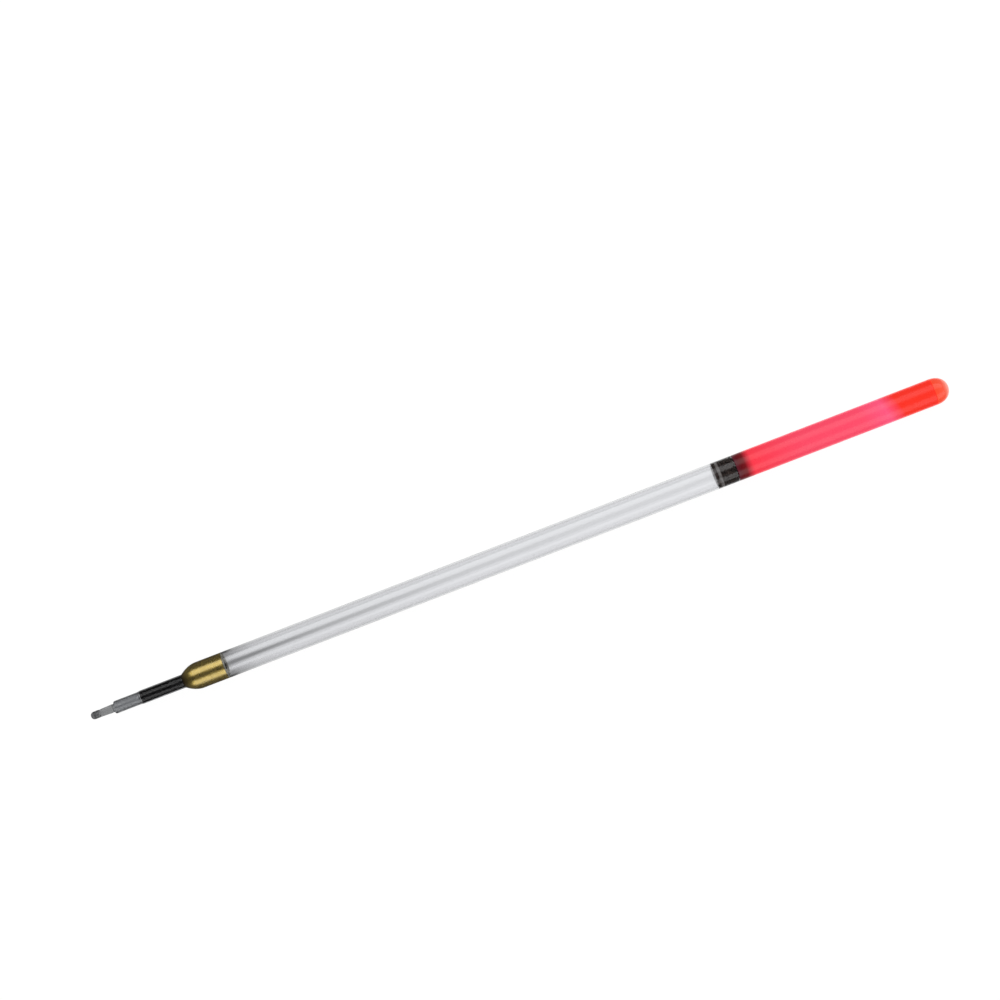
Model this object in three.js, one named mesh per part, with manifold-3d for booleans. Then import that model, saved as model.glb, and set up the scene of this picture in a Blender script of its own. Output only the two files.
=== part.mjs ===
// A clear waggler float for fishing: a sealed clear tube, loaded at its lower end with a brass weight,
// and a fluorescent red tube above it that shows over the water. A black stem runs down through the
// weight. A clear silicone sleeve is pushed onto the stem and carries the eye that the line passes through.
//
// Millimetres, +Z up. The float lies along X on the plane z = 0: its eye points to -X, its tip to +X.
// Stations along the float are measured from the foremost point of the eye, as "from the eye end".

import * as THREE from 'three';
import { mergeVertices } from 'three/addons/utils/BufferGeometryUtils.js';
import Module from 'manifold-3d';

const wasm = await Module();
wasm.setup();

// ---- Driving dimensions ----------------------------------------------------------------------------

const SIDES = 24; // flats on every turned piece; each flat lies on the true radius
const TUBE_RADIUS = 3.5;
const TUBE_WALL = 0.45;
const BORE_RADIUS = TUBE_RADIUS - TUBE_WALL;
const TOTAL_LENGTH = 238;

// Stations from the eye end
const SLEEVE_START = 6.3;
const STEM_START = 13.85;
const NOSE_START = 25.7;
const TUBE_START = 28.7; // where the tube's tapered lower edge meets the weight
const TAPER_END = 30.2; // where the nose's curve reaches the full radius
const WEIGHT_END = 37.15;
const STEM_END = 37.45;
const GLUE_END = 37.55;
const JOINER_START = 173.1;
const TUBE_JOINT = 178.95; // the clear and the red tube meet here
const JOINER_END = 182.3;
const SPIGOT_START = 222.7;
const DOME_START = 233.85;

// Fits
const GLUED = 0.03; // radial gap of a glued joint
const RUNNING = 0.05; // radial gap under the silicone, which the real one closes by gripping
const BUTT = 0.05; // gap between faces that meet end to end

// Eye
const EYE_RADIUS = 1.55;
const EYE_HOLE_RADIUS = 0.52;
const EYE_HOLE_SIDES = 16;
const EYE_THICKNESS = 2.0;
const BLADE_START = 2.85;
const BLADE_WIDTH = 3.3;
const EYE_BEVEL = 0.35;
const SHANK_RADIUS = 1.03;
const SHANK_END = STEM_START - 0.35;
const SHANK_EDGE = 0.2;

// Stem and sleeve
const STEM_RADIUS = 1.12;
const STEM_EDGE = 0.2; // chamfer at both ends
const SLEEVE_RADIUS_ON_EYE = 1.64;
const SLEEVE_RADIUS_ON_STEM = 1.79;
const SLEEVE_SWELL = 0.5; // length over which the sleeve widens onto the stem
const SLEEVE_EDGE = 0.5; // rounding of the sleeve's front edge
const SLEEVE_EDGE_STEPS = 4;

// Weight
const WEIGHT_BODY_RADIUS = BORE_RADIUS - GLUED;
const WEIGHT_CHAMFER = 0.15;
const NOSE_RADIUS = 1.78;
const NOSE_STEPS = 6;

// Fillet of adhesive at the weight's inner end
const FILLET_FOOT_GAP = 0.02; // gap to the weight's end face
const FILLET_WALL_GAP = 0.01; // gap to the tube's bore
const FILLET_SPREAD = 1.3; // how far it runs inwards over the weight's end
const FILLET_EDGE = 0.1; // its thickness there
const FILLET_STEPS = 4;

// Joiner between the tubes
const JOINER_RADIUS = BORE_RADIUS - GLUED;
const COLLAR_LENGTH = 1.1;
const GROOVE_LENGTH = 0.5;
const GROOVE_RADIUS = 2.3;
const RIB_COUNT = 7;
const RIB_DEPTH = 0.14;
const RIB_CREST_SHARE = 0.55;
const JOINT_RING_LENGTH = 0.5;
const JOINT_RING_RADIUS = 2.8;
const JOINER_CHAMFER = 0.3;

// Tip plug
const SPIGOT_RADIUS = BORE_RADIUS - GLUED;
const SPIGOT_CHAMFER = 0.3;
const CAP_WALL = 1.1;
const DOME_STEPS = 8;

// ---- Helpers ---------------------------------------------------------------------------------------

const FLAT_TO_CORNER = 1 / Math.cos(Math.PI / SIDES);
const WELD_DISTANCE = 1e-4;

// A turned piece from a closed or axis-to-axis profile of [station, radius], laid along X with a flat down.
function turned(profile) {
  const points = profile.map(([station, radius]) => new THREE.Vector2(radius * FLAT_TO_CORNER, station));
  const geometry = new THREE.LatheGeometry(points, SIDES, Math.PI / SIDES);
  geometry.rotateZ(-Math.PI / 2);
  return geometry;
}

// Points of a rounded edge that swells from a radius at one station to a larger one at the next.
function roundedEdge(startStation, startRadius, endStation, endRadius, steps) {
  const points = [];
  for (let i = 0; i <= steps; i += 1) {
    const angle = (Math.PI / 2) * (i / steps);
    points.push([
      startStation + (endStation - startStation) * (1 - Math.cos(angle)),
      startRadius + (endRadius - startRadius) * Math.sin(angle),
    ]);
  }
  return points;
}

function toManifold(geometry) {
  const bare = geometry.index ? geometry.toNonIndexed() : geometry.clone();
  bare.deleteAttribute('normal');
  bare.deleteAttribute('uv');
  const merged = mergeVertices(bare, WELD_DISTANCE);
  const corners = merged.index.array;
  const triangles = [];
  for (let i = 0; i < corners.length; i += 3) {
    const [a, b, c] = corners.slice(i, i + 3);
    if (a !== b && b !== c && c !== a) triangles.push(a, b, c);
  }
  const mesh = new wasm.Mesh({
    numProp: 3,
    vertProperties: new Float32Array(merged.attributes.position.array),
    triVerts: new Uint32Array(triangles),
  });
  return new wasm.Manifold(mesh);
}

function fromManifold(solid) {
  const mesh = solid.getMesh();
  const geometry = new THREE.BufferGeometry();
  geometry.setAttribute('position', new THREE.BufferAttribute(new Float32Array(mesh.vertProperties), 3));
  geometry.setIndex(new THREE.BufferAttribute(new Uint32Array(mesh.triVerts), 1));
  geometry.computeVertexNormals();
  return geometry;
}

function finish(color, roughness, metalness, opacity = 1) {
  return new THREE.MeshStandardMaterial({ color, roughness, metalness, opacity, transparent: opacity < 1 });
}

// ---- Pieces ----------------------------------------------------------------------------------------

// The moulded eye: a round flat head with the line's hole across it, a flat blade that stops against
// the sleeve, and a round shank that the sleeve grips.
function baseEye() {
  const shoulder = SLEEVE_START - BUTT;
  // The outline is drawn inside the real one by the bevel's width, which the bevel adds again.
  const headRadius = EYE_RADIUS - EYE_BEVEL;
  const halfWidth = BLADE_WIDTH / 2 - EYE_BEVEL;
  const halfNeck = Math.sqrt(EYE_RADIUS ** 2 - (BLADE_START - EYE_RADIUS) ** 2) - EYE_BEVEL;
  const neckAngle = Math.asin(halfNeck / headRadius);
  const bladeFront = BLADE_START + EYE_BEVEL;
  const bladeBack = shoulder - EYE_BEVEL;

  const outline = new THREE.Shape();
  outline.absarc(EYE_RADIUS, 0, headRadius, neckAngle, -neckAngle, false);
  outline.lineTo(bladeFront, -halfNeck);
  outline.lineTo(bladeFront, -halfWidth);
  outline.lineTo(bladeBack, -halfWidth);
  outline.lineTo(bladeBack, halfWidth);
  outline.lineTo(bladeFront, halfWidth);
  outline.lineTo(bladeFront, halfNeck);

  const plate = new THREE.ExtrudeGeometry(outline, {
    depth: EYE_THICKNESS - 2 * EYE_BEVEL,
    bevelThickness: EYE_BEVEL,
    bevelSize: EYE_BEVEL,
    bevelSegments: 2,
    curveSegments: 20,
  });
  plate.translate(0, 0, -EYE_THICKNESS / 2 + EYE_BEVEL);
  plate.rotateX(Math.PI / 2);

  const drill = 2 * EYE_THICKNESS;
  const hole = new THREE.CylinderGeometry(EYE_HOLE_RADIUS, EYE_HOLE_RADIUS, drill, EYE_HOLE_SIDES);
  hole.translate(EYE_RADIUS, 0, 0);

  const shank = turned([
    [bladeBack, 0],
    [bladeBack, SHANK_RADIUS],
    [SHANK_END - SHANK_EDGE, SHANK_RADIUS],
    [SHANK_END, SHANK_RADIUS - SHANK_EDGE],
    [SHANK_END, 0],
  ]);

  return fromManifold(toManifold(plate).add(toManifold(shank)).subtract(toManifold(hole)));
}

// The silicone tube, a little wider where it is stretched over the stem.
function siliconeSleeve() {
  const frontBore = SHANK_RADIUS + RUNNING;
  const rearBore = STEM_RADIUS + RUNNING;
  const swellStart = STEM_START - SLEEVE_SWELL;
  const rear = NOSE_START - BUTT;
  const edgeRadius = SLEEVE_RADIUS_ON_EYE - SLEEVE_EDGE;
  const edgeEnd = SLEEVE_START + SLEEVE_EDGE;
  return turned([
    ...roundedEdge(SLEEVE_START, edgeRadius, edgeEnd, SLEEVE_RADIUS_ON_EYE, SLEEVE_EDGE_STEPS),
    [swellStart, SLEEVE_RADIUS_ON_EYE],
    [STEM_START + SLEEVE_SWELL, SLEEVE_RADIUS_ON_STEM],
    [rear, SLEEVE_RADIUS_ON_STEM],
    [rear, rearBore],
    [STEM_START - BUTT, rearBore],
    [swellStart, frontBore],
    [SLEEVE_START, frontBore],
    [SLEEVE_START, edgeRadius],
  ]);
}

// The black stem, glued through the weight, with its inner end just inside the air chamber.
function stem() {
  return turned([
    [STEM_START, 0],
    [STEM_START, STEM_RADIUS - STEM_EDGE],
    [STEM_START + STEM_EDGE, STEM_RADIUS],
    [STEM_END - STEM_EDGE, STEM_RADIUS],
    [STEM_END, STEM_RADIUS - STEM_EDGE],
    [STEM_END, 0],
  ]);
}

// Radius of the rounded nose at a station, from the sleeve's end to the tube's full radius.
function noseRadius(station) {
  const share = (station - NOSE_START) / (TAPER_END - NOSE_START);
  return TUBE_RADIUS - (TUBE_RADIUS - NOSE_RADIUS) * (1 - share) ** 2;
}

// The turned brass weight: a rounded nose outside, a cylinder glued in the tube, and a bore for the stem.
function brassWeight() {
  const bore = STEM_RADIUS + GLUED;
  const nose = [];
  for (let i = 0; i <= NOSE_STEPS; i += 1) {
    const station = NOSE_START + (TUBE_START - NOSE_START) * (i / NOSE_STEPS);
    nose.push([station, noseRadius(station)]);
  }
  return turned([
    [NOSE_START, bore],
    ...nose,
    [TUBE_START, WEIGHT_BODY_RADIUS],
    [WEIGHT_END - WEIGHT_CHAMFER, WEIGHT_BODY_RADIUS],
    [WEIGHT_END, WEIGHT_BODY_RADIUS - WEIGHT_CHAMFER],
    [WEIGHT_END, bore],
    [NOSE_START, bore],
  ]);
}

// The fillet of adhesive that seals the weight's inner end to the tube: high at the bore, thin inwards.
function weightGlueRing() {
  const foot = WEIGHT_END + FILLET_FOOT_GAP;
  const outer = BORE_RADIUS - FILLET_WALL_GAP;
  const inner = outer - FILLET_SPREAD;
  const fillet = [];
  for (let i = 0; i <= FILLET_STEPS; i += 1) {
    const inwards = i / FILLET_STEPS;
    const thickness = FILLET_EDGE + (GLUE_END - WEIGHT_END - FILLET_EDGE) * (1 - inwards) ** 3;
    fillet.push([WEIGHT_END + thickness, outer - FILLET_SPREAD * inwards]);
  }
  return turned([[foot, inner], [foot, outer], ...fillet, [foot, inner]]);
}

// The clear body tube. Its lower edge is turned down to carry on the nose's curve.
function clearTube() {
  const start = TUBE_START + BUTT;
  const middle = (start + TAPER_END) / 2;
  return turned([
    [start, BORE_RADIUS],
    [start, noseRadius(start)],
    [middle, noseRadius(middle)],
    [TAPER_END, TUBE_RADIUS],
    [TUBE_JOINT - BUTT, TUBE_RADIUS],
    [TUBE_JOINT - BUTT, BORE_RADIUS],
    [start, BORE_RADIUS],
  ]);
}

// The black plug that joins the two tubes and keeps their chambers apart: a collar, a groove, ribs that
// hold the adhesive in the clear tube, a ring groove at the joint, and a spigot in the red tube.
function tubeJoiner() {
  const groove = JOINER_START + COLLAR_LENGTH;
  const ribsStart = groove + GROOVE_LENGTH;
  const ribsEnd = TUBE_JOINT - JOINT_RING_LENGTH / 2;
  const pitch = (ribsEnd - ribsStart) / RIB_COUNT;
  const ribs = [];
  for (let i = 0; i < RIB_COUNT; i += 1) {
    const start = ribsStart + i * pitch;
    ribs.push([start, JOINER_RADIUS - RIB_DEPTH]);
    ribs.push([start + (pitch * (1 - RIB_CREST_SHARE)) / 2, JOINER_RADIUS]);
    ribs.push([start + (pitch * (1 + RIB_CREST_SHARE)) / 2, JOINER_RADIUS]);
  }
  return turned([
    [JOINER_START, 0],
    [JOINER_START, JOINER_RADIUS],
    [groove, JOINER_RADIUS],
    [groove, GROOVE_RADIUS],
    [ribsStart, GROOVE_RADIUS],
    ...ribs,
    [ribsEnd, JOINER_RADIUS - RIB_DEPTH],
    [ribsEnd, JOINT_RING_RADIUS],
    [ribsEnd + JOINT_RING_LENGTH, JOINT_RING_RADIUS],
    [ribsEnd + JOINT_RING_LENGTH, JOINER_RADIUS],
    [JOINER_END - JOINER_CHAMFER, JOINER_RADIUS],
    [JOINER_END, JOINER_RADIUS - JOINER_CHAMFER],
    [JOINER_END, 0],
  ]);
}

// The fluorescent red tube.
function redTube() {
  const start = TUBE_JOINT + BUTT;
  const end = DOME_START - BUTT;
  return turned([
    [start, BORE_RADIUS],
    [start, TUBE_RADIUS],
    [end, TUBE_RADIUS],
    [end, BORE_RADIUS],
    [start, BORE_RADIUS],
  ]);
}

// The moulded cap of the tip: a dome flush with the tube, and a hollow spigot glued inside it.
function tipPlug() {
  const dome = [];
  for (let i = 0; i < DOME_STEPS; i += 1) {
    const angle = (Math.PI / 2) * (i / DOME_STEPS);
    dome.push([DOME_START + (TOTAL_LENGTH - DOME_START) * Math.sin(angle), TUBE_RADIUS * Math.cos(angle)]);
  }
  const pocketRadius = SPIGOT_RADIUS - CAP_WALL;
  return turned([
    [DOME_START, 0],
    [DOME_START, pocketRadius],
    [SPIGOT_START, pocketRadius],
    [SPIGOT_START, SPIGOT_RADIUS - SPIGOT_CHAMFER],
    [SPIGOT_START + SPIGOT_CHAMFER, SPIGOT_RADIUS],
    [DOME_START, SPIGOT_RADIUS],
    ...dome,
    [TOTAL_LENGTH, 0],
  ]);
}

// ---- Assembly --------------------------------------------------------------------------------------

const PIECES = {
  base_eye: [baseEye(), finish(0x8c9094, 0.15, 0, 0.7)],
  silicone_sleeve: [siliconeSleeve(), finish(0x9a9ca4, 0.35, 0, 0.6)],
  stem: [stem(), finish(0x161618, 0.35, 0)],
  brass_weight: [brassWeight(), finish(0xc9a545, 0.25, 1)],
  weight_glue_ring: [weightGlueRing(), finish(0xa9abad, 0.3, 0, 0.8)],
  clear_tube: [clearTube(), finish(0xdfe4e8, 0.08, 0, 0.35)],
  tube_joiner: [tubeJoiner(), finish(0x1d1a19, 0.3, 0)],
  red_tube: [redTube(), finish(0xf9485f, 0.2, 0)],
  tip_plug: [tipPlug(), finish(0xfa5a43, 0.2, 0)],
};

const group = new THREE.Group();
group.position.set(-TOTAL_LENGTH / 2, 0, TUBE_RADIUS);
for (const [name, [geometry, material]] of Object.entries(PIECES)) {
  const mesh = new THREE.Mesh(geometry, material);
  mesh.name = name;
  group.add(mesh);
}

export default group;
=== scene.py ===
"""A clear waggler float, lying on a pale studio floor.

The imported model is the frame. Each visible piece is a finely turned or moulded mesh that replaces its
coarse CAD node and rides on the same body. Stations run along the float from the foremost point of its
eye. Stations and radii are in millimetres; finished meshes are in metres, in the frame's own place.
"""

import math

import bmesh
import bpy
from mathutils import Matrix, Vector


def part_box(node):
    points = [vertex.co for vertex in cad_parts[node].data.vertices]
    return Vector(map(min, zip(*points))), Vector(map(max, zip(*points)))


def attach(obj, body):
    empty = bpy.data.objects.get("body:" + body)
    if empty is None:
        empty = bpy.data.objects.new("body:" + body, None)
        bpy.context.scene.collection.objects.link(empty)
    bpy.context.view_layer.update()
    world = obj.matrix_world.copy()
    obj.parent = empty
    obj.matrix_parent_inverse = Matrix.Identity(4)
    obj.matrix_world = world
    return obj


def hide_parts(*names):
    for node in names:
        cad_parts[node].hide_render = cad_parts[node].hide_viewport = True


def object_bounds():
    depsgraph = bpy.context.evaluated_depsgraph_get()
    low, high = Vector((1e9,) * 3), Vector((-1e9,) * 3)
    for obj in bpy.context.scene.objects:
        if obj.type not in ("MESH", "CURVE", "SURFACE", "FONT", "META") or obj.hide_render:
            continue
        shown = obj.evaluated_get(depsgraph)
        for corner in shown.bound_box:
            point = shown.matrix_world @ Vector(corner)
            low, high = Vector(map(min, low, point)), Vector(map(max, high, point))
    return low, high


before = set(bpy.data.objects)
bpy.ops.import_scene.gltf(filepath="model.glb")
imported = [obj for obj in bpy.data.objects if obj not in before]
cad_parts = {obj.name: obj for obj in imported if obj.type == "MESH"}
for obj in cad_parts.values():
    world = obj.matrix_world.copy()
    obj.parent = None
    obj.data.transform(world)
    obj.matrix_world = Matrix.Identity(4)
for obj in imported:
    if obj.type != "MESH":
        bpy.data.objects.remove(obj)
cad_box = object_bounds()

MM = 0.001

# ---- Sizes -------------------------------------------------------------------------------------------

EYE_END = cad_box[0].x  # in metres: station 0
TUBE_RADIUS = (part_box("clear_tube")[1].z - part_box("clear_tube")[0].z) / 2 / MM
AXIS_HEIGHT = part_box("clear_tube")[0].z / MM + TUBE_RADIUS
TUBE_WALL = 0.45
BORE_RADIUS = TUBE_RADIUS - TUBE_WALL
GRIP = 0.01  # how far a glued or gripped piece reaches into its neighbour, so that no film of air shows
BUTT = 0.05  # gap between faces that meet end to end


def station(x):
    """A frame X as a station in millimetres from the eye end."""
    return (x - EYE_END) / MM


def span(node):
    """The first and last station of a CAD node."""
    low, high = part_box(node)
    return station(low.x), station(high.x)


SLEEVE_START, SLEEVE_END = span("silicone_sleeve")
STEM_START, STEM_END = span("stem")
WEIGHT_START, WEIGHT_END = span("brass_weight")
GLUE_START, GLUE_END = span("weight_glue_ring")
TUBE_START, TUBE_END = span("clear_tube")
JOINER_START, JOINER_END = span("tube_joiner")
RED_START, RED_END = span("red_tube")
SPIGOT_START, TIP_END = span("tip_plug")
SHANK_END = span("base_eye")[1]

EYE_RADIUS = 1.55
EYE_HOLE_RADIUS = 0.52
EYE_THICKNESS = 2.0
BLADE_WIDTH = 3.3
SHANK_RADIUS = 1.03
STEM_RADIUS = 1.12
SLEEVE_RADIUS_ON_EYE = 1.64
SLEEVE_RADIUS_ON_STEM = 1.79
NOSE_RADIUS = 1.78
TAPER_END = 30.2  # where the nose's curve reaches the tube's full radius

# ---- Node helpers ------------------------------------------------------------------------------------


def socket(tree, name, kind, direction="INPUT", default=None):
    made = tree.interface.new_socket(name=name, in_out=direction, socket_type=kind)
    if default is not None:
        made.default_value = default
    return made


class Graph:
    """Adds nodes to a tree, with their settings and inputs, and links sockets given in place of values."""

    def __init__(self, tree):
        self.tree = tree

    def give(self, target, value):
        """Links a socket to an input, or sets the input to a plain value."""
        if isinstance(value, bpy.types.NodeSocket):
            self.tree.links.new(value, target)
        else:
            target.default_value = value

    def node(self, kind, inputs=None, **settings):
        made = self.tree.nodes.new(kind)
        for key, value in settings.items():
            setattr(made, key, value)
        for key, value in (inputs or {}).items():
            self.give(made.inputs[key], value)
        return made

    def math(self, operation, *values, clamp=False):
        inputs = dict(enumerate(values))
        return self.node("ShaderNodeMath", inputs, operation=operation, use_clamp=clamp).outputs[0]

    def map_range(self, value, low, high, to_low=0.0, to_high=1.0):
        """Maps low..high to to_low..to_high, and holds the ends beyond them."""
        inputs = {"Value": value, "From Min": low, "From Max": high, "To Min": to_low, "To Max": to_high}
        return self.node("ShaderNodeMapRange", inputs).outputs[0]

    def ramp(self, value, low, high, stops):
        """Greys or colours for a value between low and high, from [(place, grey or (r, g, b)), ...]."""
        made = self.node("ShaderNodeValToRGB", {"Fac": self.map_range(value, low, high)})
        elements = made.color_ramp.elements
        while len(elements) < len(stops):
            elements.new(0.5)
        for element, (place, shade) in zip(elements, stops):
            colour = shade if isinstance(shade, tuple) else (shade, shade, shade)
            element.position = (place - low) / (high - low)
            element.color = (*colour, 1.0)
        return made.outputs["Color"]

    def blend(self, factor, first, second):
        """Mixes two colours, each a socket or (r, g, b)."""
        made = self.node("ShaderNodeMix", data_type="RGBA")
        for identifier, value in (("Factor_Float", factor), ("A_Color", first), ("B_Color", second)):
            target = next(s for s in made.inputs if s.identifier == identifier)
            self.give(target, (*value, 1.0) if isinstance(value, tuple) else value)
        return next(s for s in made.outputs if s.identifier == "Result_Color")


# ---- Camera ------------------------------------------------------------------------------------------

CAMERA_LENS = 85.0
CAMERA_SENSOR = 36.0
CAMERA_DISTANCE = 0.6120
CAMERA_SIDE = 0.01428
CAMERA_ALONG = 0.00007
CAMERA_ROLL = math.radians(21.093)


def make_camera():
    """Looks straight down, turned so that the float rises to the right below the picture's middle."""
    data = bpy.data.cameras.new("camera")
    data.lens = CAMERA_LENS
    data.sensor_width = CAMERA_SENSOR
    data.clip_start = 0.01
    data.clip_end = 20.0
    camera = bpy.data.objects.new("camera", data)
    bpy.context.scene.collection.objects.link(camera)
    camera.location = (CAMERA_ALONG, CAMERA_SIDE, AXIS_HEIGHT * MM + CAMERA_DISTANCE)
    camera.rotation_euler = (0.0, 0.0, -CAMERA_ROLL)
    bpy.context.scene.camera = camera


# ---- Studio ------------------------------------------------------------------------------------------

SOFTBOX_DISTANCE = 0.60
SOFTBOX_LENGTH = 1.65
SOFTBOX_WIDTH = 0.52
SOFTBOX_ALONG = 0.2  # shift towards the tip, so that the nose's lower end stays dark
FAR_TILT, FAR_RADIANCE = 43.0, 1.0
NEAR_TILT, NEAR_RADIANCE = -57.0, 0.93


def make_softbox(name, tilt, radiance):
    """A long softbox beside the float, tilted from straight above by some degrees towards +Y."""
    data = bpy.data.lights.new(name, "AREA")
    data.shape = "RECTANGLE"
    data.size = SOFTBOX_LENGTH
    data.size_y = SOFTBOX_WIDTH
    data.energy = radiance * math.pi * SOFTBOX_LENGTH * SOFTBOX_WIDTH
    lamp = bpy.data.objects.new(name, data)
    bpy.context.scene.collection.objects.link(lamp)
    angle = math.radians(tilt)
    towards = Vector((0.0, math.sin(angle), math.cos(angle)))
    lamp.location = towards * SOFTBOX_DISTANCE + Vector((SOFTBOX_ALONG, 0.0, 0.0))
    lamp.rotation_euler = (-angle, 0.0, 0.0)
    lamp.visible_camera = False


WHITE = (1.0, 1.0, 1.0, 1.0)
SEEN_THROUGH = (0.62, 0.63, 0.65, 1.0)
MIRRORED = (0.045, 0.045, 0.047, 1.0)


def by_path(g, seen, through, mirrored):
    """Picks one of three shaders: what the camera sees, what clear pieces show, what pieces reflect."""
    path = g.node("ShaderNodeLightPath").outputs
    bounced = g.math("ADD", path["Glossy Depth"], path["Diffuse Depth"])
    behind = g.node("ShaderNodeMixShader", {"Fac": g.math("MINIMUM", bounced, 1.0), 1: through, 2: mirrored})
    front = g.node("ShaderNodeMixShader", {"Fac": path["Is Camera Ray"], 1: behind.outputs[0], 2: seen})
    return front.outputs[0]


def make_world():
    world = bpy.data.worlds.new("studio")
    bpy.context.scene.world = world
    world.use_nodes = True
    g = Graph(world.node_tree)
    g.tree.nodes.clear()
    shades = []
    for colour in (WHITE, SEEN_THROUGH, MIRRORED):
        shades.append(g.node("ShaderNodeBackground", {"Color": colour}).outputs[0])
    g.node("ShaderNodeOutputWorld", {"Surface": by_path(g, *shades)})


FLOOR_HALF = 4.0
FLOOR_DROP = 0.00002
FLOOR_DIFFUSE = (0.15, 0.15, 0.15, 1.0)
FLOOR_LIFT = 0.96  # the floor's own glow, which with its diffuse light makes it white

# What clear pieces show of the floor, by station. UNDER is its grey, darker towards the eye end as painted
# shade.
# It is darker by CONTACT_SHADOW, a painted contact shadow of half-width CONTACT_SHADOW_WIDTH under the axis,
# and by
# SIDE_SHADE, painted shade beside the weight, beyond SIDE_SHADE_REACH from the axis.
FLOOR_STATIONS = (-20.0, 250.0)
UNDER = [(0, 0.46), (25, 0.5), (45, 0.68), (100, 0.77), (170, 0.81)]
# A painted contact shadow under the axis, deepest just past the weight.
CONTACT_SHADOW = [(0, 0.0), (25, 0.0), (36, 0.58), (45, 0.58), (64, 0.3), (100, 0.08), (140, 0.0)]
CONTACT_SHADOW_WIDTH = [(0, 1.0), (38, 1.0), (42, 0.75), (50, 0.6), (250, 0.6)]
# Painted shade beside the weight.
SIDE_SHADE = [(0, 0.5), (38, 0.5), (41, 0.3), (45, 0.1), (52, 0.0)]
SIDE_SHADE_REACH = (1.4, 2.4)

# Pieces mirror the same grey, with its painted shadow and shade, near the axis past the weight, and a dark
# floor elsewhere.
NEAR_AXIS = (8.0, 10.0)
PAST_WEIGHT = (37.0, 40.0)


def floor_shades(g):
    """The grey of the floor seen through clear pieces, with its painted shadow and shade, and the grey
    mirrored in pieces.
    """
    parts = g.node("ShaderNodeSeparateXYZ", {0: g.node("ShaderNodeTexCoord").outputs["Object"]}).outputs
    along = g.math("DIVIDE", g.math("SUBTRACT", parts["X"], EYE_END), MM)
    aside = g.math("DIVIDE", g.math("ABSOLUTE", parts["Y"]), MM)
    under, shadow_depth, width, side_shading = (
        g.ramp(along, *FLOOR_STATIONS, stops) for stops in (UNDER, CONTACT_SHADOW, CONTACT_SHADOW_WIDTH, SIDE_SHADE)
    )

    # Painted contact shadow under the axis, then painted shade to the sides.
    falloff = g.math("POWER", g.math("DIVIDE", aside, width), 2.0)
    near = g.math("EXPONENT", g.math("MULTIPLY", falloff, -1.0))
    shadowed = g.math("MULTIPLY", under, g.math("SUBTRACT", 1.0, g.math("MULTIPLY", near, shadow_depth)))
    beyond = g.map_range(aside, *SIDE_SHADE_REACH)
    shaded = g.math("MULTIPLY", shadowed, g.math("SUBTRACT", 1.0, g.math("MULTIPLY", beyond, side_shading)))

    beside = g.map_range(aside, *NEAR_AXIS, 1.0, 0.0)
    past_weight = g.map_range(along, *PAST_WEIGHT)
    lit = g.math("MULTIPLY", g.math("MULTIPLY", beside, past_weight), shaded)
    return shaded, g.math("MAXIMUM", lit, 2 * MIRRORED[0])


def make_floor():
    """A white floor, which clear pieces show in grey with painted shadow and shade, and pieces mirror darkly,
    as beyond a lit table.
    """
    mesh = bpy.data.meshes.new("floor")
    corners = [(-1, -1), (1, -1), (1, 1), (-1, 1)]
    points = [(x * FLOOR_HALF, y * FLOOR_HALF, -FLOOR_DROP) for x, y in corners]
    mesh.from_pydata(points, [], [(0, 1, 2, 3)])
    floor = bpy.data.objects.new("floor", mesh)
    bpy.context.scene.collection.objects.link(floor)

    material = bpy.data.materials.new("floor")
    material.use_nodes = True
    g = Graph(material.node_tree)
    g.tree.nodes.clear()
    diffuse = g.node("ShaderNodeBsdfDiffuse", {"Color": FLOOR_DIFFUSE}).outputs[0]
    lift = g.node("ShaderNodeEmission", {"Color": WHITE, "Strength": FLOOR_LIFT}).outputs[0]
    seen = g.node("ShaderNodeAddShader", {0: diffuse, 1: lift}).outputs[0]
    shaded, mirrored = floor_shades(g)
    through = g.node("ShaderNodeEmission", {"Color": shaded}).outputs[0]
    dark = g.node("ShaderNodeEmission", {"Color": mirrored}).outputs[0]
    g.node("ShaderNodeOutputMaterial", {"Surface": by_path(g, seen, through, dark)})
    material.cycles.emission_sampling = "NONE"
    mesh.materials.append(material)


# ---- Turned pieces -----------------------------------------------------------------------------------


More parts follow.
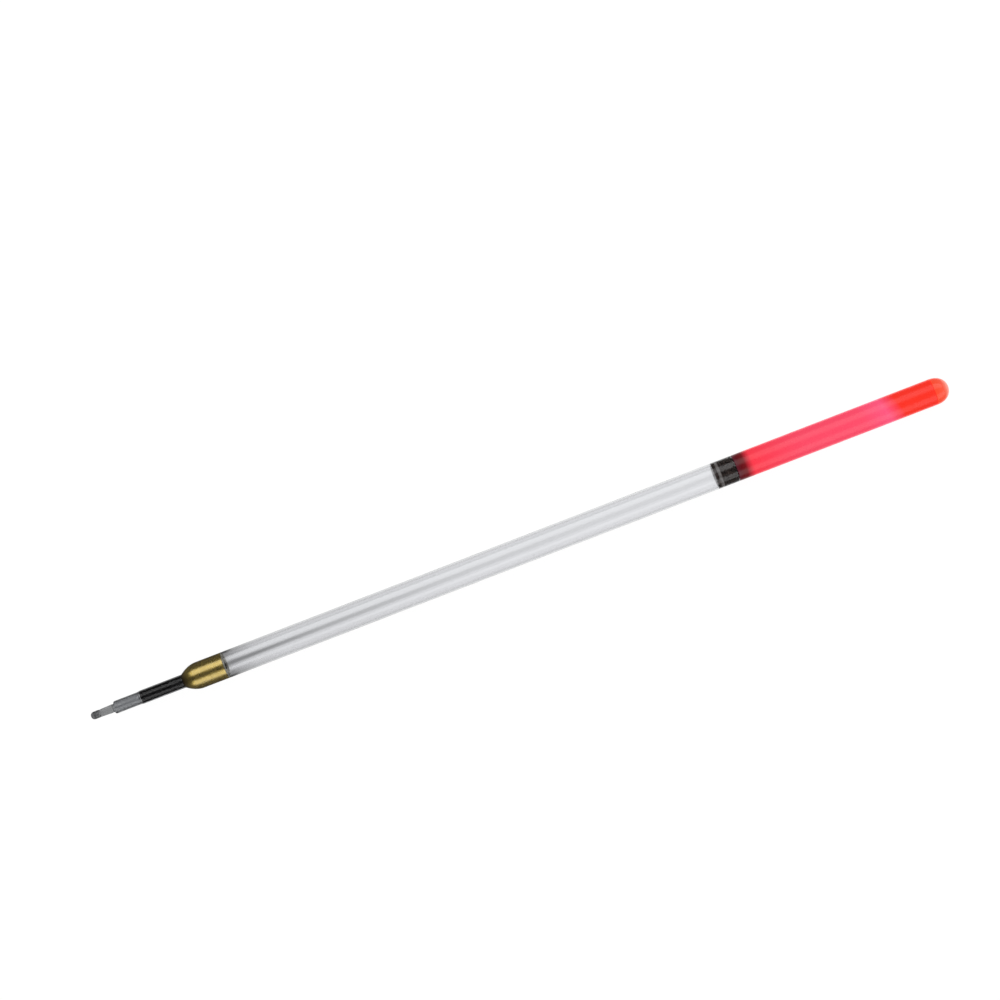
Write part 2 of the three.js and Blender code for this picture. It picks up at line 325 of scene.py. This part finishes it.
def turning_tree():
    """Geometry Nodes: turns a profile of (station, radius) points round the float's axis.

    A profile either starts and ends on the axis or closes on itself. Cut Slant leans the first
    stretch of the piece, over Cut Reach, as where a tube is cut by hand.
    """
    tree = bpy.data.node_groups.new("Turned Piece", "GeometryNodeTree")
    socket(tree, "Profile", "NodeSocketGeometry")
    socket(tree, "Segments", "NodeSocketInt", default=128)
    socket(tree, "Eye End", "NodeSocketFloat")
    socket(tree, "Axis Height", "NodeSocketFloat")
    socket(tree, "Cut Start", "NodeSocketFloat")
    socket(tree, "Cut Reach", "NodeSocketFloat", default=1.0)
    socket(tree, "Cut Slant", "NodeSocketFloat")
    socket(tree, "Material", "NodeSocketMaterial")
    socket(tree, "Geometry", "NodeSocketGeometry", "OUTPUT")
    g = Graph(tree)
    given = g.node("NodeGroupInput").outputs
    profile = given["Profile"]

    # A grid with a row for each point of the profile and a column for each step round the axis
    count = g.node("GeometryNodeAttributeDomainSize", {"Geometry": profile}).outputs["Point Count"]
    around = g.math("ADD", given["Segments"], 1.0)
    grid = g.node("GeometryNodeMeshGrid", {"Vertices X": count, "Vertices Y": around})
    index = g.node("GeometryNodeInputIndex").outputs[0]
    row = g.math("FLOOR", g.math("DIVIDE", g.math("ADD", index, 0.5), around))
    column = g.math("SUBTRACT", index, g.math("MULTIPLY", row, around))
    position = g.node("GeometryNodeInputPosition").outputs[0]
    sampled = {"Geometry": profile, "Value": position, "Index": row}
    point = g.node("GeometryNodeSampleIndex", sampled, data_type="FLOAT_VECTOR").outputs["Value"]
    parts = g.node("ShaderNodeSeparateXYZ", {0: point}).outputs
    along, radius = parts["X"], parts["Y"]

    # Each grid point's place on the float
    angle = g.math("MULTIPLY", g.math("DIVIDE", column, given["Segments"]), 2 * math.pi)
    across = g.math("MULTIPLY", radius, g.math("SINE", angle))
    up = g.math("MULTIPLY", radius, g.math("COSINE", angle))
    past_cut = g.math("DIVIDE", g.math("SUBTRACT", along, given["Cut Start"]), given["Cut Reach"])
    near_cut = g.math("SUBTRACT", 1.0, past_cut, clamp=True)
    leaned = g.math("MULTIPLY_ADD", g.math("MULTIPLY", given["Cut Slant"], near_cut), across, along)
    place = {
        "X": g.math("MULTIPLY_ADD", leaned, MM, given["Eye End"]),
        "Y": g.math("MULTIPLY", across, MM),
        "Z": g.math("MULTIPLY", g.math("ADD", up, given["Axis Height"]), MM),
    }
    placed = {"Geometry": grid.outputs["Mesh"], "Position": g.node("ShaderNodeCombineXYZ", place).outputs[0]}
    wrapped = g.node("GeometryNodeSetPosition", placed).outputs[0]

    closed = g.node("GeometryNodeMergeByDistance", {"Geometry": wrapped, "Distance": 1e-7}).outputs[0]
    real = g.node("GeometryNodeRealizeInstances", {"Geometry": closed}).outputs[0]
    finished = g.node("GeometryNodeSetMaterial", {"Geometry": real, "Material": given["Material"]})
    g.node("NodeGroupOutput", {"Geometry": finished.outputs[0]})
    return tree


TURNING = turning_tree()
FINE_SEGMENTS = 160  # round the tubes and the tip, which are seen largest


def set_input(modifier, name, value):
    """Sets a Geometry Nodes modifier's input, found by its name, through its identifier."""
    items = modifier.node_group.interface.items_tree
    identifier = next(i.identifier for i in items if i.name == name and i.in_out == "INPUT")
    modifier[identifier] = value


def face_outwards(mesh):
    """Turns a closed mesh's faces outwards, and drops any without an area."""
    solid = bmesh.new()
    solid.from_mesh(mesh)
    bmesh.ops.dissolve_degenerate(solid, dist=1e-8, edges=solid.edges)
    if solid.calc_volume(signed=True) < 0:
        bmesh.ops.reverse_faces(solid, faces=solid.faces)
    solid.to_mesh(mesh)
    solid.free()


def plain_mesh(obj, name, sharp_angle):
    """Replaces an object's modifiers by their result: a closed mesh, faces out, smooth but at sharp edges."""
    graph = bpy.context.evaluated_depsgraph_get()
    mesh = bpy.data.meshes.new_from_object(obj.evaluated_get(graph))
    obj.modifiers.clear()
    obj.data = mesh
    mesh.name = name
    face_outwards(mesh)
    mesh.shade_smooth()
    mesh.set_sharp_from_angle(angle=math.radians(sharp_angle))
    return obj


def turned(name, profile, material, segments=128, cut=(0.0, 1.0, 0.0)):
    """A turned piece from [(station, radius), ...]. cut is the start, reach and slant of a leaning end."""
    mesh = bpy.data.meshes.new(name + "_profile")
    mesh.from_pydata([(along, radius, 0.0) for along, radius in profile], [], [])
    obj = bpy.data.objects.new(name, mesh)
    bpy.context.scene.collection.objects.link(obj)
    modifier = obj.modifiers.new("turned", "NODES")
    modifier.node_group = TURNING
    set_input(modifier, "Segments", segments)
    set_input(modifier, "Eye End", EYE_END)
    set_input(modifier, "Axis Height", AXIS_HEIGHT)
    for input_name, value in zip(("Cut Start", "Cut Reach", "Cut Slant"), cut):
        set_input(modifier, input_name, value)
    set_input(modifier, "Material", material)
    return plain_mesh(obj, name, sharp_angle=32.0)


def rounded(corner, first, last, steps=5):
    """Points of a rounded corner: a curve from the first point to the last, drawn towards the corner."""
    points = []
    for i in range(steps + 1):
        t = i / steps
        shares = ((1 - t) ** 2, first), (2 * t * (1 - t), corner), (t**2, last)
        points.append(tuple(sum(share * point[axis] for share, point in shares) for axis in (0, 1)))
    return points


# ---- Shader groups -----------------------------------------------------------------------------------


def place_group():
    """Where a point is on the float: its station, and its place in millimetres centred on the axis."""
    tree = bpy.data.node_groups.new("Place On Float", "ShaderNodeTree")
    socket(tree, "Station", "NodeSocketFloat", "OUTPUT")
    socket(tree, "Place", "NodeSocketVector", "OUTPUT")
    g = Graph(tree)
    parts = g.node("ShaderNodeSeparateXYZ", {0: g.node("ShaderNodeTexCoord").outputs["Object"]}).outputs
    along = g.math("DIVIDE", g.math("SUBTRACT", parts["X"], EYE_END), MM)
    across = g.math("DIVIDE", parts["Y"], MM)
    up = g.math("DIVIDE", g.math("SUBTRACT", parts["Z"], AXIS_HEIGHT * MM), MM)
    place = g.node("ShaderNodeCombineXYZ", {"X": along, "Y": across, "Z": up}).outputs[0]
    g.node("NodeGroupOutput", {"Station": along, "Place": place})
    return tree


def rings_group():
    """Fine rings round the axis, uneven in depth, as a turning tool or a wiped-on coat leaves."""
    tree = bpy.data.node_groups.new("Rings Round The Axis", "ShaderNodeTree")
    socket(tree, "Place", "NodeSocketVector")
    socket(tree, "Rings Per Millimetre", "NodeSocketFloat", default=8.0)
    socket(tree, "Streakiness", "NodeSocketFloat", default=0.1)
    socket(tree, "Height", "NodeSocketFloat", "OUTPUT")
    g = Graph(tree)
    given = g.node("NodeGroupInput").outputs
    stretch = {"X": given["Rings Per Millimetre"], "Y": given["Streakiness"], "Z": given["Streakiness"]}
    scale = g.node("ShaderNodeCombineXYZ", stretch).outputs[0]
    scaled = g.node("ShaderNodeVectorMath", {0: given["Place"], 1: scale}, operation="MULTIPLY").outputs[0]
    noise = g.node("ShaderNodeTexNoise", {"Vector": scaled, "Scale": 1.0, "Detail": 3.0, "Roughness": 0.6})
    g.node("NodeGroupOutput", {"Height": noise.outputs["Fac"]})
    return tree


def wear_group():
    """Handling marks: a roughness that faint smears lift from clean to worn."""
    tree = bpy.data.node_groups.new("Handling Marks", "ShaderNodeTree")
    socket(tree, "Place", "NodeSocketVector")
    socket(tree, "Clean Roughness", "NodeSocketFloat", default=0.05)
    socket(tree, "Worn Roughness", "NodeSocketFloat", default=0.2)
    socket(tree, "Roughness", "NodeSocketFloat", "OUTPUT")
    g = Graph(tree)
    given = g.node("NodeGroupInput").outputs
    marks = {"Vector": given["Place"], "Scale": 0.35, "Detail": 4.0, "Roughness": 0.65}
    smears = g.node("ShaderNodeTexNoise", marks).outputs["Fac"]
    worn = g.map_range(smears, 0.45, 0.75, given["Clean Roughness"], given["Worn Roughness"])
    g.node("NodeGroupOutput", {"Roughness": worn})
    return tree


PLACE = place_group()
RINGS = rings_group()
WEAR = wear_group()


class Finish(Graph):
    """A material under construction: a Principled BSDF, the point's place on the float, and helpers."""

    def __init__(self, name, **constants):
        self.material = bpy.data.materials.new(name)
        self.material.use_nodes = True
        super().__init__(self.material.node_tree)
        self.shader = self.tree.nodes["Principled BSDF"]
        for key, value in constants.items():
            self.shader.inputs[key.replace("_", " ")].default_value = value
        placed = self.group(PLACE).outputs
        self.station, self.place = placed["Station"], placed["Place"]

    def group(self, group, **inputs):
        made = self.tree.nodes.new("ShaderNodeGroup")
        made.node_tree = group
        for key, value in inputs.items():
            self.give(made.inputs[key.replace("_", " ")], value)
        return made

    def feed(self, name, source):
        self.tree.links.new(source, self.shader.inputs[name])

    def wear(self, clean, worn):
        made = self.group(WEAR, Place=self.place, Clean_Roughness=clean, Worn_Roughness=worn)
        self.feed("Roughness", made.outputs["Roughness"])

    def rings(self, per_mm, streakiness):
        made = self.group(RINGS, Place=self.place, Rings_Per_Millimetre=per_mm, Streakiness=streakiness)
        return made.outputs["Height"]

    def bump(self, height, depth):
        """Raises the surface by up to a depth in millimetres."""
        made = self.node("ShaderNodeBump", {"Height": height, "Distance": depth * MM})
        self.feed("Normal", made.outputs["Normal"])

    def noise(self, scale, detail=3.0):
        inputs = {"Vector": self.place, "Scale": scale, "Detail": detail}
        return self.node("ShaderNodeTexNoise", inputs).outputs["Fac"]


# ---- Materials ---------------------------------------------------------------------------------------


def clear_plastic():
    """Water-clear tube, with slow waves from drawing it."""
    m = Finish("clear_plastic", Transmission_Weight=1.0, IOR=1.49, Base_Color=(0.97, 0.975, 0.99, 1.0))
    m.wear(0.01, 0.05)
    m.bump(m.noise(0.12, detail=1.0), 0.05)
    return m.material


def brass():
    """Turned brass with rings from the tool, and painted shade at its mouth, where the stem goes in."""
    m = Finish("brass", Metallic=1.0, Coat_Weight=1.0, Coat_Roughness=0.25)
    rings = m.rings(3.0, 0.06)
    polished = m.blend(rings, (0.74, 0.50, 0.07), (0.93, 0.74, 0.25))
    # Painted shade: the brass is darker at its mouth, where shade falls between the weight and the stem.
    past_painted_shade = m.map_range(m.station, WEIGHT_START + 0.2, WEIGHT_START + 1.6)
    m.feed("Base Color", m.blend(past_painted_shade, (0.22, 0.15, 0.06), polished))
    m.wear(0.27, 0.36)
    m.bump(rings, 0.006)
    return m.material


def black_stem():
    m = Finish("black_stem", Base_Color=(0.011, 0.011, 0.011, 1.0), Specular_IOR_Level=0.33)
    m.wear(0.3, 0.5)
    m.bump(m.rings(3.0, 0.6), 0.01)
    return m.material


def silicone():
    """Clear silicone, unevenly cloudy."""
    m = Finish("silicone", Transmission_Weight=1.0, IOR=1.41)
    m.feed("Base Color", m.blend(m.noise(0.3), (0.89, 0.90, 0.92), (0.96, 0.965, 0.98)))
    m.wear(0.08, 0.14)
    return m.material


def eye_plastic():
    """Smoky clear plastic, darker towards the eye's head."""
    m = Finish("eye_plastic", Transmission_Weight=0.75, IOR=1.49)
    pale = m.blend(m.noise(0.4), (0.54, 0.55, 0.56), (0.68, 0.69, 0.70))
    past_head = m.map_range(m.station, 0.3, 3.4)
    m.feed("Base Color", m.blend(past_head, (0.36, 0.36, 0.37), pale))
    m.wear(0.08, 0.14)
    return m.material


def adhesive():
    m = Finish("adhesive", Transmission_Weight=0.1, IOR=1.5)
    m.feed("Base Color", m.blend(m.noise(1.0), (0.66, 0.64, 0.53), (0.80, 0.78, 0.68)))
    m.wear(0.15, 0.3)
    return m.material


def joiner_plastic():
    """Black plastic under brownish streaks of adhesive, with a pale ring of painted light in its groove."""
    m = Finish("black_joiner")
    rings = m.rings(2.2, 0.09)
    streaks = m.ramp(rings, 0.35, 0.7, [(0.35, (0.022, 0.014, 0.012)), (0.7, (0.14, 0.095, 0.08))])
    # Painted light: a pale ring in the groove, standing in for light caught there.
    off_groove_light = m.math("ABSOLUTE", m.math("SUBTRACT", m.station, JOINER_START + 1.25))
    pale = m.map_range(off_groove_light, 0.2, 0.5, 0.9, 0.0)
    m.feed("Base Color", m.blend(pale, streaks, (0.62, 0.58, 0.56)))
    m.wear(0.25, 0.4)
    m.bump(rings, 0.02)
    return m.material


def red_plastic():
    """Fluorescent red tube with a painted glow: dark over the joiner as painted shade, pinker upwards, orange
    over the tip's spigot.

    The orange starts along a slanting edge, so the colours lean more the nearer they are to it.
    """
    # The emission is painted light: a glow standing in for fluorescence and for light shining through the
    # tube.
    m = Finish("red_plastic", Emission_Strength=0.6)
    across = m.node("ShaderNodeSeparateXYZ", {0: m.place}).outputs["Y"]
    slant = m.map_range(m.station, RED_START, SPIGOT_START, 0.0, 0.31)
    colours = [
        # Dark over the joiner: painted shade, where the joiner stops the light through the tube.
        (RED_START, (0.095, 0.012, 0.022)),
        (RED_START + 0.9, (0.105, 0.004, 0.008)),
        (JOINER_END - 1.0, (0.16, 0.005, 0.008)),
        (JOINER_END + 1.0, (0.93, 0.042, 0.07)),
        (RED_START + 18, (0.93, 0.068, 0.125)),
        (SPIGOT_START - 9, (0.95, 0.072, 0.14)),
        (SPIGOT_START - 2.5, (0.97, 0.095, 0.21)),
        (SPIGOT_START - 0.8, (0.94, 0.065, 0.12)),
        (SPIGOT_START + 1.4, (0.93, 0.032, 0.018)),
    ]
    colour = m.ramp(m.math("MULTIPLY_ADD", across, slant, m.station), RED_START, RED_END, colours)
    m.feed("Base Color", colour)
    m.feed("Emission Color", colour)
    m.wear(0.26, 0.4)
    return m.material


def tip_plastic():
    """Fluorescent orange-red, paler towards the end of the dome, with a painted glow standing in for
    fluorescence.
    """
    # The emission is painted light: a glow standing in for fluorescence.
    m = Finish("tip_plastic", Emission_Strength=0.6)
    colours = [
        (RED_END, (0.94, 0.07, 0.03)),
        (TIP_END - 2.0, (0.94, 0.10, 0.055)),
        (TIP_END, (0.94, 0.34, 0.26)),
    ]
    colour = m.ramp(m.station, RED_END - 1.0, TIP_END, colours)
    m.feed("Base Color", colour)
    m.feed("Emission Color", colour)
    m.wear(0.16, 0.3)
    return m.material


# ---- Pieces on the float's body ----------------------------------------------------------------------

EDGE = 0.08  # breaks the tubes' edges
PLUG_EDGE = 0.3  # rounds the inner ends of the joiner and the spigot


def ride(obj, body, node):
    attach(obj, body)
    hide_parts(node)


def nose(start, end, steps):
    """Points of the rounded nose, which runs from the sleeve's end to the tube's full radius."""
    points = []
    for i in range(steps + 1):
        place = start + (end - start) * i / steps
        share = min(1.0, (place - WEIGHT_START) / (TAPER_END - WEIGHT_START))
        points.append((place, TUBE_RADIUS - (TUBE_RADIUS - NOSE_RADIUS) * (1 - share) ** 2))
    return points


def make_clear_tube():
    profile = [
        (TUBE_START, BORE_RADIUS),
        *nose(TUBE_START, TAPER_END, 6),
        (TUBE_END - EDGE, TUBE_RADIUS),
        (TUBE_END, TUBE_RADIUS - EDGE),
        (TUBE_END, BORE_RADIUS),
        (TUBE_START, BORE_RADIUS),
    ]
    tube = turned("clear_tube_wall", profile, clear_plastic(), FINE_SEGMENTS)
    ride(tube, "float_body", "clear_tube")


def make_weight():
    bore = STEM_RADIUS - GRIP
    body = BORE_RADIUS + GRIP
    edge = 0.12
    profile = [
        (WEIGHT_START, bore),
        *nose(WEIGHT_START, TUBE_START - BUTT, 16),
        (TUBE_START - BUTT, body),
        *rounded((WEIGHT_END, body), (WEIGHT_END - edge, body), (WEIGHT_END, body - edge), 3),
        (WEIGHT_END, bore),
        (WEIGHT_START, bore),
    ]
    ride(turned("turned_weight", profile, brass()), "float_body", "brass_weight")


def make_glue_ring():
    """A fillet of adhesive, high at the tube's bore and thin where it ends on the weight's face."""
    outer = BORE_RADIUS + GRIP
    reach = 1.3
    inner = outer - reach
    hollow = (GLUE_START + 0.12, outer - 0.1)
    profile = [
        (GLUE_START, inner),
        (GLUE_START, outer),
        (GLUE_END, outer),
        *rounded(hollow, (GLUE_END, outer), (GLUE_START + 0.08, inner), 8),
        (GLUE_START, inner),
    ]
    ride(turned("adhesive_ring", profile, adhesive()), "float_body", "weight_glue_ring")


def make_stem():
    radius = STEM_RADIUS
    edge = 0.2
    profile = [
        (STEM_START, 0.0),
        *rounded((STEM_START, radius), (STEM_START, radius - edge), (STEM_START + edge, radius)),
        *rounded((STEM_END, radius), (STEM_END - edge, radius), (STEM_END, radius - edge)),
        (STEM_END, 0.0),
    ]
    ride(turned("black_stem_rod", profile, black_stem()), "float_body", "stem")


def make_joiner():
    """A plug between the tubes: a collar, a groove, ribs, a ring at the joint, and a spigot in the red tube.

    Its crests reach into the tubes' walls and its valleys only just touch them, so that no film of air shows.
    """
    crest = BORE_RADIUS + 0.035
    shoulder = crest - 0.004
    valley = BORE_RADIUS + 0.005
    collar_length, groove_length = 1.1, 0.5
    collar_end = JOINER_START + collar_length
    ribs_start = collar_end + groove_length
    groove_side = 0.06
    joint_ring, joint_ring_radius = 0.5, 2.8
    ribs_end = (TUBE_END + RED_START) / 2 - joint_ring / 2
    rib_count = 7
    pitch = (ribs_end - ribs_start) / rib_count
    rib = [(0.0, valley), (0.25, shoulder), (0.4, crest), (0.6, crest), (0.75, shoulder)]
    ribs = [(ribs_start + (i + share) * pitch, radius) for i in range(rib_count) for share, radius in rib]
    front_edge = 0.1
    front_corner = (JOINER_START, crest)
    profile = [
        (JOINER_START, 0.0),
        *rounded(front_corner, (JOINER_START, crest - front_edge), (JOINER_START + front_edge, crest), 3),
        (collar_end, crest),
        (collar_end + groove_side, valley),
        (ribs_start - groove_side, valley),
        *ribs,
        (ribs_end, valley),
        (ribs_end, joint_ring_radius),
        (ribs_end + joint_ring, joint_ring_radius),
        (ribs_end + joint_ring, crest),
        *rounded((JOINER_END, crest), (JOINER_END - PLUG_EDGE, crest), (JOINER_END, crest - PLUG_EDGE)),
        (JOINER_END, 0.0),
    ]
    ride(turned("ribbed_joiner", profile, joiner_plastic()), "float_body", "tube_joiner")


def make_red_tube():
    top_edge = 0.05
    profile = [
        (RED_START, BORE_RADIUS),
        (RED_START, TUBE_RADIUS - EDGE),
        (RED_START + EDGE, TUBE_RADIUS),
        (RED_END - top_edge, TUBE_RADIUS),
        (RED_END, TUBE_RADIUS - top_edge),
        (RED_END, BORE_RADIUS),
        (RED_START, BORE_RADIUS),
    ]
    tube = turned("red_tube_wall", profile, red_plastic(), FINE_SEGMENTS)
    ride(tube, "float_body", "red_tube")


def make_tip():
    """A cap with a slightly square-shouldered dome, and a hollow spigot inside the red tube."""
    dome_start = RED_END + BUTT
    spigot = BORE_RADIUS + GRIP
    spigot_wall = 1.1
    pocket = spigot - spigot_wall
    steps = 24
    fullness = 2 / 2.15  # 1 would make the dome an ellipse; less makes its shoulders squarer
    dome = []
    for i in range(1, steps):
        angle = math.pi / 2 * i / steps
        along = (TIP_END - dome_start) * math.sin(angle) ** fullness
        dome.append((dome_start + along, TUBE_RADIUS * math.cos(angle) ** fullness))
    spigot_corner = (SPIGOT_START, spigot)
    profile = [
        (dome_start, 0.0),
        (dome_start, pocket),
        (SPIGOT_START, pocket),
        *rounded(spigot_corner, (SPIGOT_START, spigot - PLUG_EDGE), (SPIGOT_START + PLUG_EDGE, spigot)),
        (dome_start, spigot),
        (dome_start, TUBE_RADIUS),
        *dome,
        (TIP_END, 0.0),
    ]
    tip = turned("domed_tip", profile, tip_plastic(), FINE_SEGMENTS)
    ride(tip, "float_body", "tip_plug")


# ---- Sleeve ------------------------------------------------------------------------------------------


def make_sleeve():
    """The silicone tube: a rounded front end cut at a slant, and a swell where it runs onto the stem."""
    front_bore, rear_bore = SHANK_RADIUS - GRIP, STEM_RADIUS - GRIP
    front, rear = SLEEVE_RADIUS_ON_EYE, SLEEVE_RADIUS_ON_STEM
    swell = 0.55  # how far to each side of the stem's end the sleeve widens onto it
    slant, slant_reach = 0.12, 3.0
    front_edge, rear_edge = (0.6, 0.4), 0.1
    start = SLEEVE_START + slant * front
    profile = [
        (start, front_bore + EDGE),
        *rounded((start, front), (start, front - front_edge[1]), (start + front_edge[0], front), 8),
        (STEM_START - swell, front),
        (STEM_START, (front + rear) / 2 + 0.02),
        (STEM_START + swell, rear),
        *rounded((SLEEVE_END, rear), (SLEEVE_END - rear_edge, rear), (SLEEVE_END, rear - rear_edge), 3),
        (SLEEVE_END, rear_bore),
        (STEM_START - BUTT, rear_bore),
        (STEM_START - swell, front_bore),
        (start + EDGE, front_bore),
        (start, front_bore + EDGE),
    ]
    sleeve = turned("silicone_tube", profile, silicone(), cut=(start, slant_reach, slant))
    ride(sleeve, "sleeve", "silicone_sleeve")


# ---- Eye ---------------------------------------------------------------------------------------------

HEAD_RIM = 0.9  # how far in from its edge the head is rounded
BLADE_START = EYE_RADIUS + 0.75
BLADE_HALF_DEPTH = 0.94
BLADE_SWELL = 0.14  # what the blade's half depth gains towards the sleeve
BLADE_CORNER = 0.42
BLADE_FRONT_EDGE, BLADE_FRONT_REACH = 0.3, 0.45
BLADE_REAR_EDGE, BLADE_REAR_REACH = 0.1, 0.15
SHANK_OVERLAP = 0.9  # how far the shank starts inside the blade
SHANK_EDGE = 0.2
HOLE_REACH = 1.2  # how far to each side of the eye's middle plane the hole is cut
HOLE_FLARE = 0.16


def solid_from_rings(name, rings, material):
    """A closed solid through rings of points, the same count in each; the first and last are capped."""
    count = len(rings[0])
    faces = [tuple(reversed(range(count)))]
    for i in range(len(rings) - 1):
        for j in range(count):
            after = (j + 1) % count
            faces.append((i * count + j, i * count + after, (i + 1) * count + after, (i + 1) * count + j))
    faces.append(tuple(range((len(rings) - 1) * count, len(rings) * count)))
    mesh = bpy.data.meshes.new(name)
    mesh.from_pydata([point for ring in rings for point in ring], [], faces)
    face_outwards(mesh)
    mesh.materials.append(material)
    obj = bpy.data.objects.new(name, mesh)
    bpy.context.scene.collection.objects.link(obj)
    return obj


def eye_disc(name, rim, material):
    """A disc about the line hole's axis, from (radius, offset along Y) pairs from one side to the other."""
    centre_x = EYE_END + EYE_RADIUS * MM
    centre_z = AXIS_HEIGHT * MM
    count = 64
    rings = []
    for radius, offset in rim:
        ring = []
        for i in range(count):
            angle = 2 * math.pi * i / count
            along = centre_x + radius * MM * math.cos(angle)
            up = centre_z + radius * MM * math.sin(angle)
            ring.append((along, offset * MM, up))
        rings.append(ring)
    return solid_from_rings(name, rings, material)


def quarter_round(share):
    """How far a rounded end is still pulled in, from 1 at its start to 0 where share reaches 1."""
    return 1 - math.sqrt(1 - (1 - min(1.0, share)) ** 2)


def eye_blade(material):
    """The flat blade behind the eye: a rounded bar that thickens towards the sleeve."""
    end = SLEEVE_START - BUTT
    steps = 14
    corner_steps = 8
    rings = []
    for i in range(steps + 1):
        share = i / steps
        place = BLADE_START + (end - BLADE_START) * share
        shrink = BLADE_FRONT_EDGE * quarter_round((place - BLADE_START) / BLADE_FRONT_REACH)
        shrink += BLADE_REAR_EDGE * quarter_round((end - place) / BLADE_REAR_REACH)
        half_depth = BLADE_HALF_DEPTH + BLADE_SWELL * share - shrink - BLADE_CORNER
        half_width = BLADE_WIDTH / 2 - shrink - BLADE_CORNER
        ring = []
        for side_y, side_z, turn in ((1, 1, 0), (-1, 1, 1), (-1, -1, 2), (1, -1, 3)):
            for k in range(corner_steps + 1):
                angle = math.pi / 2 * (turn + k / corner_steps)
                across = side_y * half_depth + BLADE_CORNER * math.cos(angle)
                up = AXIS_HEIGHT + side_z * half_width + BLADE_CORNER * math.sin(angle)
                ring.append((EYE_END + place * MM, across * MM, up * MM))
        rings.append(ring)
    return solid_from_rings("eye_blade", rings, material)


def eye_shank(material):
    """The round peg that the sleeve grips."""
    start = SLEEVE_START - SHANK_OVERLAP
    edge = (SHANK_END, SHANK_RADIUS - SHANK_EDGE)
    profile = [
        (start, 0.0),
        (start, SHANK_RADIUS),
        *rounded((SHANK_END, SHANK_RADIUS), (SHANK_END - SHANK_EDGE, SHANK_RADIUS), edge),
        (SHANK_END, 0.0),
    ]
    return turned("eye_shank", profile, material)


def join_by(target, other, operation):
    change = target.modifiers.new(operation, "BOOLEAN")
    change.operation = operation
    change.solver = "EXACT"
    change.object = other
    plain_mesh(target, target.name, sharp_angle=35.0)
    bpy.data.objects.remove(other)


def make_eye():
    """A lens-edged head, a blade and a shank in one moulding, with a flared hole for the line."""
    material = eye_plastic()
    rim_steps = 12
    rim = []
    for i in range(rim_steps + 1):
        angle = math.pi * i / rim_steps
        radius = EYE_RADIUS - HEAD_RIM + HEAD_RIM * math.sin(angle)
        rim.append((radius, -EYE_THICKNESS / 2 * math.cos(angle)))
    flare_steps = 8
    flare = []
    for i in range(flare_steps + 1):
        share = 2 * i / flare_steps - 1
        flare.append((EYE_HOLE_RADIUS + HOLE_FLARE * abs(share) ** 3, HOLE_REACH * share))

    eye = eye_disc("moulded_eye", rim, material)
    join_by(eye, eye_blade(material), "UNION")
    join_by(eye, eye_shank(material), "UNION")
    join_by(eye, eye_disc("line_hole", flare, material), "DIFFERENCE")
    ride(eye, "eye", "base_eye")


# ---- Making ------------------------------------------------------------------------------------------

make_camera()
make_world()
make_floor()
make_softbox("softbox_far", FAR_TILT, FAR_RADIANCE)
make_softbox("softbox_near", NEAR_TILT, NEAR_RADIANCE)
bpy.context.scene.view_settings.view_transform = "Standard"

make_eye()
make_sleeve()
make_stem()
make_weight()
make_glue_ring()
make_clear_tube()
make_joiner()
make_red_tube()
make_tip()
